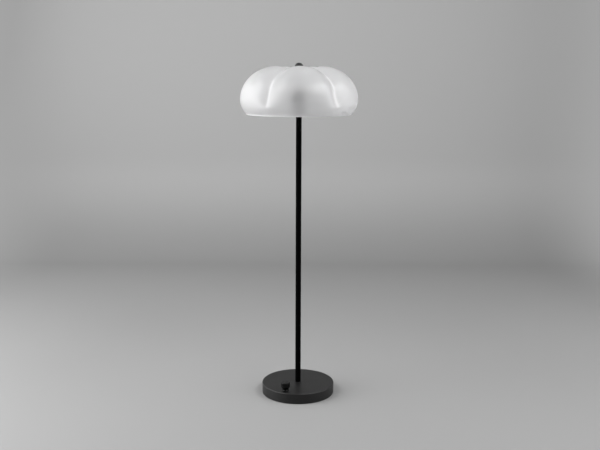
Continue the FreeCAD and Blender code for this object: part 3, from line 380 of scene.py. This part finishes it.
# Painted highlights: the creases and the rim are painted whiter, as bright lines of light on them.
# In metres: from a crease's edge to its middle, from its lower end up, from its upper end out, and down
# to the rim.
crease_edge, crease_foot, crease_head = (0.0085, 0.0015), (0.994, 1.000), (0.100, 0.160)
rim_edge = (0.9735, 0.9715)
crease_highlight_share, rim_highlight_share = 0.25, 0.9
across, along, level = (glass.node("SeparateXYZ", output=axis, Vector=glass.place()) for axis in "XYZ")
reach = (across * across + along * along) ** 0.5
lobes_round = (across.math("ARCTAN2", -1.0 * along) - shade_bearing) * (LOBES / (2 * math.pi))
from_crease = (0.5 - lobes_round.math("PINGPONG", 0.5)) * reach * (2 * math.pi / LOBES)
down_the_crease = glass.ramp(level, *crease_foot) * glass.ramp(reach, *crease_head)
painted_crease_highlight = glass.ramp(from_crease, *crease_edge) * down_the_crease
painted_rim_highlight = glass.ramp(level, *rim_edge)
# A whiter plain glass is mixed in there as the painted highlight on creases and rim.
shade.data.materials.append(glass.done(glass.node(
    "MixShader",
    Fac=crease_highlight_share * painted_crease_highlight + rim_highlight_share * painted_rim_highlight,
    input_1=milky_body,
    input_2=glass.shader(Base_Color=(0.97, 0.97, 0.975, 1.0), Roughness=0.35),
)))
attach(shade, STAND)
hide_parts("shade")


# ---- Black painted metal -------------------------------------------------------------------
# Base cover, cup, lid, seat, cap washer and finial share one finish: a fine-textured satin black
# powder coat, a little uneven in sheen, with a faint orange-peel relief. The knob's coat is smoother
# and the stem's tube is sprayed thinner and flatter, and both are painted darker as painted shade.

black_low, black_high = 0.0035, 0.0065


def black_coat(name, peel, sheen, gloss, tone=1.0):
    """The coat, with its relief in metres, mean roughness, mirror share and tone; a tone below 1 is
    painted shade.
    """
    coat = Finish(name)
    grain = coat.noise(scale=700.0, detail=3.0, roughness=0.6)
    drift = coat.noise(scale=9.0, detail=2.0)
    return coat.done(coat.shader(
        Base_Color=coat.tint(drift, (black_low * tone,) * 3, (black_high * tone,) * 3),
        Roughness=sheen - 0.05 + 0.1 * drift,
        Specular_IOR_Level=gloss,
        Normal=coat.bump(grain, distance=peel, strength=0.5),
    ))


def dress(material, *names):
    """Puts one finish on pieces of the frame."""
    for name in names:
        nodes[name].data.materials.clear()
        nodes[name].data.materials.append(material)


satin_black = black_coat("satin_black_coat", peel=0.00003, sheen=0.46, gloss=0.36)
# The knob's and the stem's coats are painted darker by their tone, as painted shade.
soft_black_painted_shade = black_coat("soft_black_coat", peel=0.00002, sheen=0.20, gloss=0.13, tone=0.3)
flat_black_painted_shade = black_coat("flat_black_coat", peel=0.00002, sheen=0.60, gloss=0.012, tone=0.25)
dress(satin_black, "base_cover", "lamp_cup", "cup_lid", "shade_seat", "cap_washer", "finial")
dress(soft_black_painted_shade, "dimmer_knob")
dress(flat_black_painted_shade, "stem_tube")


# ---- Plated and cast metal -----------------------------------------------------------------
# Bottom plate, screws, nuts, washers, nipple, riser and clips are zinc-plated steel: a cool
# grey with faint cloudy spangle and a brushed roughness. The dimmer's bush is turned brass, and
# the weight under the cover is raw cast iron.


def plated_metal(name, dark, light, shine):
    """A bare or plated metal between two colours, with cloudy patches in its roughness."""
    metal = Finish(name)
    spangle = metal.noise(scale=60.0, detail=3.0, roughness=0.6)
    scratch = metal.noise(scale=900.0, detail=2.0, where=metal.place((1.0, 1.0, 0.08)))
    return metal.done(metal.shader(
        Base_Color=metal.tint(spangle, dark, light),
        Metallic=1.0,
        Roughness=shine + 0.18 * spangle + 0.05 * scratch,
        Normal=metal.bump(scratch, distance=0.000008, strength=0.5),
    ))


zinc = plated_metal("zinc_plate", (0.46, 0.48, 0.50), (0.62, 0.64, 0.66), shine=0.24)
brass = plated_metal("turned_brass", (0.55, 0.38, 0.14), (0.72, 0.52, 0.22), shine=0.20)
dress(zinc, "bottom_plate", "plate_screws", "terminal_screw", "earth_screw")
dress(zinc, "stem_nipple", "stem_washer", "stem_lock_washer", "stem_nut")
dress(zinc, "stem_lower_plug", "stem_upper_plug")
dress(zinc, "dimmer_washer", "dimmer_nut", "dimmer_shaft", "knob_screw")
dress(zinc, "riser", "cup_nut", "lid_nut", "holder_clips", "seat_nut")
dress(brass, "dimmer_bush")

iron = Finish("cast_iron")
sand = iron.noise(scale=420.0, detail=4.0, roughness=0.65)
rust = iron.noise(scale=30.0, detail=3.0)
cast_iron = iron.done(iron.shader(
    Base_Color=iron.tint(rust, (0.055, 0.053, 0.052), (0.105, 0.092, 0.083)),
    Metallic=0.55,
    Roughness=0.6 + 0.2 * sand,
    Normal=iron.bump(sand, distance=0.0002, strength=0.7),
))
dress(cast_iron, "base_weight")


# ---- Rubber and plastic --------------------------------------------------------------------
# The foot pad is open-celled foam rubber, the cable inlet a moulded grommet, the gaskets clear
# silicone. The dimmer's case is dark moulded plastic, the terminal block and the splice pale,
# and the leads have a smooth dark sheath.


def moulding(name, dark, light, sheen, grain=500.0, relief=0.00004, coat=0.0):
    """A moulded plastic or rubber between two colours, with a fine relief in metres."""
    plastic = Finish(name)
    texture = plastic.noise(scale=grain, detail=3.0, roughness=0.6)
    drift = plastic.noise(scale=14.0, detail=2.0)
    return plastic.done(plastic.shader(
        Base_Color=plastic.tint(drift, dark, light),
        Roughness=sheen - 0.06 + 0.12 * texture,
        Coat_Weight=coat,
        Coat_Roughness=0.08,
        Normal=plastic.bump(texture, distance=relief, strength=0.6),
    ))


foam = moulding(
    "foam_rubber", (0.012, 0.012, 0.012), (0.022, 0.022, 0.021), sheen=0.85, grain=1400.0, relief=0.0003
)
grommet = moulding("moulded_rubber", (0.010, 0.010, 0.010), (0.017, 0.017, 0.017), sheen=0.62)
silicone = moulding("silicone", (0.60, 0.61, 0.62), (0.70, 0.71, 0.72), sheen=0.38)
dark_case = moulding("dark_moulding", (0.022, 0.022, 0.024), (0.034, 0.034, 0.036), sheen=0.48)
pale_case = moulding("pale_moulding", (0.62, 0.60, 0.54), (0.70, 0.68, 0.62), sheen=0.42)
sheath = moulding(
    "lead_sheath", (0.030, 0.030, 0.031), (0.045, 0.045, 0.046), sheen=0.40, grain=90.0, relief=0.00008
)
dress(foam, "foot_pad")
dress(grommet, "cable_inlet")
dress(silicone, "lower_gasket", "upper_gasket")
dress(dark_case, "dimmer_body")
dress(pale_case, "terminal_block", "lead_splice")
dress(sheath, "stem_lead", "dimmer_lead", "holder_tails")


# ---- Ceramic and lamp glass ----------------------------------------------------------------
# Three white glazed ceramic lampholders with the lamps' ceramic feet on them. The capsules are
# clear glass with a faintly milky inside, unlit.

LAMPS = (1, 2, 3)
ceramic = moulding(
    "glazed_ceramic", (0.76, 0.75, 0.72), (0.83, 0.82, 0.80),
    sheen=0.30, grain=220.0, relief=0.00003, coat=0.6,
)
capsule = Finish("lamp_glass")
haze = capsule.noise(scale=120.0, detail=2.0)
lamp_glass = capsule.done(capsule.shader(
    Base_Color=(0.96, 0.96, 0.96, 1.0),
    Roughness=0.04 + 0.08 * haze,
    IOR=1.45,
    Transmission_Weight=0.9,
))
for lamp in LAMPS:
    dress(ceramic, f"lampholder_{lamp}", f"lamp_foot_{lamp}")
    dress(lamp_glass, f"lamp_capsule_{lamp}")
